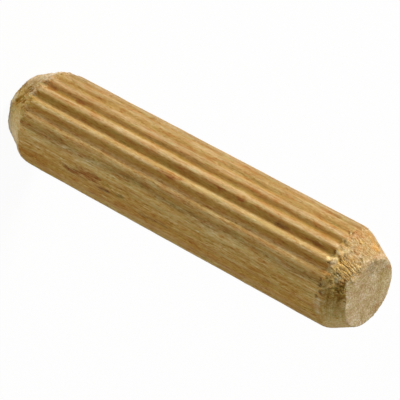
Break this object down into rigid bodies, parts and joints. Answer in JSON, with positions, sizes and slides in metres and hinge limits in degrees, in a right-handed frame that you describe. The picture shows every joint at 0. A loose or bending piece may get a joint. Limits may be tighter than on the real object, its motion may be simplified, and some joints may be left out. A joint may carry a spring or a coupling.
{
  "type": "fluted dowel pin",
  "caption": "Beech dowel pin with straight pressed flutes and a tapered lead-in at both ends, for glued wood joints.",
  "frame": {"origin": "centre of the flat bottom face, on which the pin stands", "axes": "+Z along the pin from the bottom face to the top face; -Y towards the side with the deepest flutes"},
  "size_m": [0.0082, 0.0082, 0.035],
  "materials": {
    "beech": "bare beech, pressed and cut, not sanded or sealed"
  },
  "bodies": {
    "root": {"dowel": "beech"}
  },
  "joints": []
}
